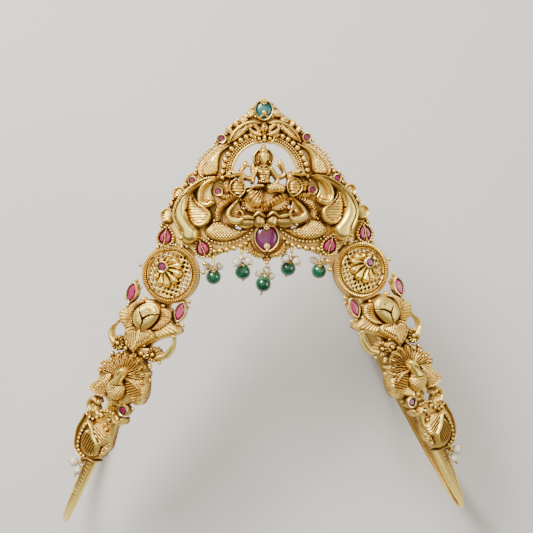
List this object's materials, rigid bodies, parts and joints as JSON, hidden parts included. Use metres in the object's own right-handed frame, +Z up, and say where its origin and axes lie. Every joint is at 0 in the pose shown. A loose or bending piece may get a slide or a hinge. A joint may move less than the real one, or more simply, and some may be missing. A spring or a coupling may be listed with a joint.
{
  "type": "armlet",
  "caption": "Rigid inverted-V armlet ring with a pierced figured peak, net discs, lotus, peacock and paisley motifs, set stones and bead drops.",
  "frame": {"origin": "middle of the outline on the surface that the ring lies on", "axes": "+Z up through the decorated front, +Y towards the peak, +X to the wearer's left as seen from the front"},
  "size_m": [0.1, 0.0938, 0.0614],
  "materials": {
    "antique_gold": "matte antique gold with brown patina in the recesses",
    "ruby": "polished, foil backed",
    "pink_stone": "polished, foil backed",
    "emerald": "polished",
    "pearl": "lustrous cream"
  },
  "bodies": {
    "root": {"band": "antique_gold", "centre_panel": "antique_gold", "deity": "antique_gold", "lotus_seat": "antique_gold", "bird_left": "antique_gold", "bird_right": "antique_gold", "scroll_left": "antique_gold", "scroll_right": "antique_gold", "net_disc_left": "antique_gold", "net_disc_right": "antique_gold", "lotus_left": "antique_gold", "lotus_right": "antique_gold", "flower_bar_left": "antique_gold", "flower_bar_right": "antique_gold", "peacock_left": "antique_gold", "peacock_right": "antique_gold", "end_paisley_left": "antique_gold", "end_paisley_right": "antique_gold", "emerald_top": "emerald", "ruby_centre": "ruby", "ruby_upper_left": "ruby", "ruby_upper_right": "ruby", "ruby_side_left": "ruby", "ruby_side_right": "ruby", "ruby_stem_left": "ruby", "ruby_stem_right": "ruby", "ruby_disc_left": "ruby", "ruby_disc_right": "ruby", "ruby_end_left": "ruby", "ruby_end_right": "ruby", "tear_inner_left": "pink_stone", "tear_inner_right": "pink_stone", "tear_outer_left": "pink_stone", "tear_outer_right": "pink_stone", "marquise_inner_left": "pink_stone", "marquise_inner_right": "pink_stone", "marquise_outer_left": "pink_stone", "marquise_outer_right": "pink_stone", "drop_1_links": "antique_gold", "drop_1_pearls": "pearl", "drop_1_bead": "emerald", "drop_2_links": "antique_gold", "drop_2_pearls": "pearl", "drop_2_bead": "emerald", "drop_3_links": "antique_gold", "drop_3_pearls": "pearl", "drop_3_bead": "emerald", "drop_4_links": "antique_gold", "drop_4_pearls": "pearl", "drop_4_bead": "emerald", "drop_5_links": "antique_gold", "drop_5_pearls": "pearl", "drop_5_bead": "emerald", "end_links_left": "antique_gold", "end_links_right": "antique_gold", "end_pearls_left": "pearl", "end_pearls_right": "pearl"}
  },
  "joints": []
}
